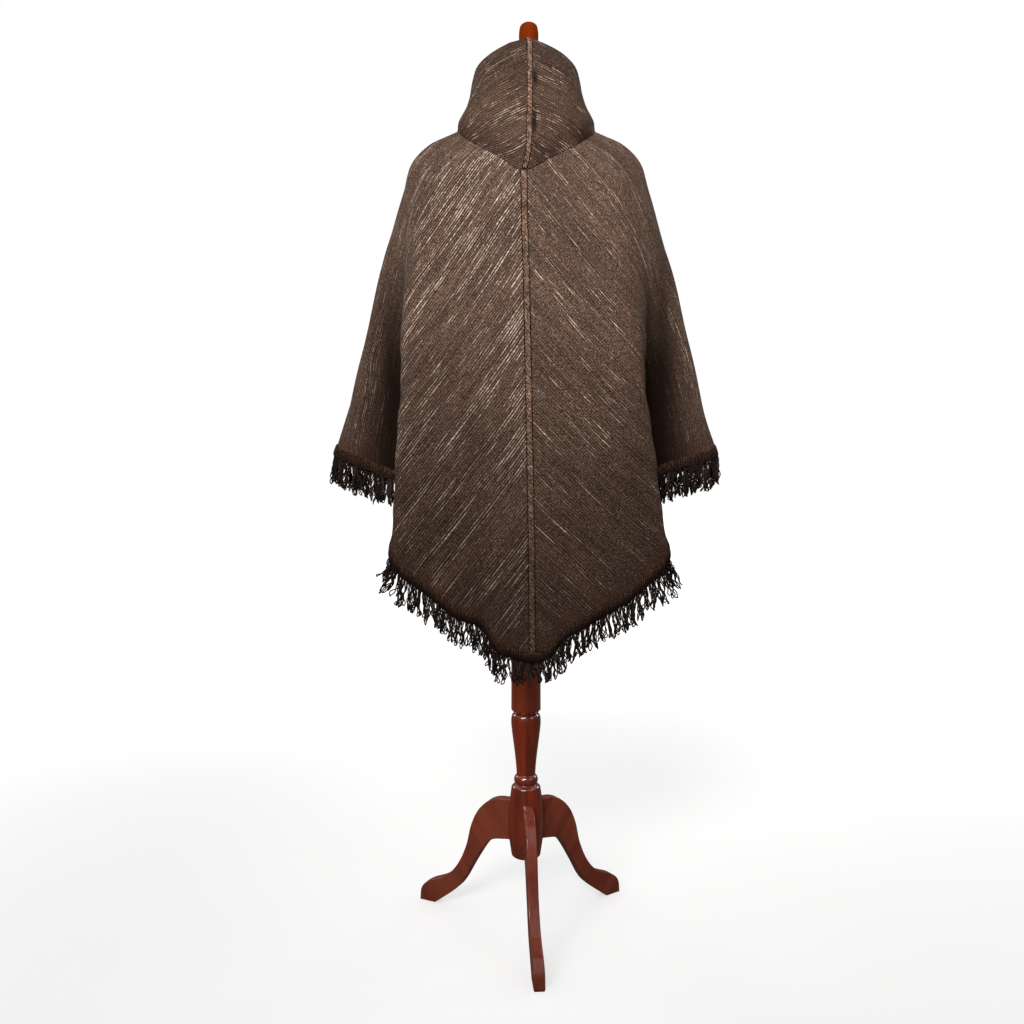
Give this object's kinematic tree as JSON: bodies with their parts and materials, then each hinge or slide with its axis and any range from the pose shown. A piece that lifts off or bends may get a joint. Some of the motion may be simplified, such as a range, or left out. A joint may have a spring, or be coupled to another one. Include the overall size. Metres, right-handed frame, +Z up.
{
  "type": "hooded andean poncho on a dress form stand",
  "caption": "Hooded andean wool poncho with space-dyed stripes and a fringed hem, worn by a limbless dress form on a turned wooden tripod stand.",
  "frame": {"origin": "middle of the base of the whole part's box, on the floor; the post's axis stands 29 mm along +Y from it", "axes": "+Z up; the wearer's back faces -Y and the wearer's right hand is at +X"},
  "size_m": [0.7449, 0.4143, 1.736],
  "materials": {
    "wool": "woven, brushed, streaked lighter",
    "seam": "felled seam in the same wool",
    "fringe": "dark woven edging with twisted wool locks",
    "linen": "plain linen over the form",
    "mahogany": "red-brown gloss lacquer",
    "amber_wood": "orange-brown gloss lacquer"
  },
  "bodies": {
    "root": {"panel_left": "wool", "panel_right": "wool", "hood_left": "wool", "hood_right": "wool", "seam_back": "seam", "seam_front": "seam", "seam_hood": "seam", "fringe_back_left": "fringe", "fringe_back_right": "fringe", "fringe_front_left": "fringe", "fringe_front_right": "fringe", "dress_form": "linen", "neck_cap": "mahogany", "hood_rod": "amber_wood", "post_pole": "mahogany", "post_turned": "mahogany", "leg_1": "mahogany", "leg_2": "mahogany", "leg_3": "mahogany"}
  },
  "joints": []
}
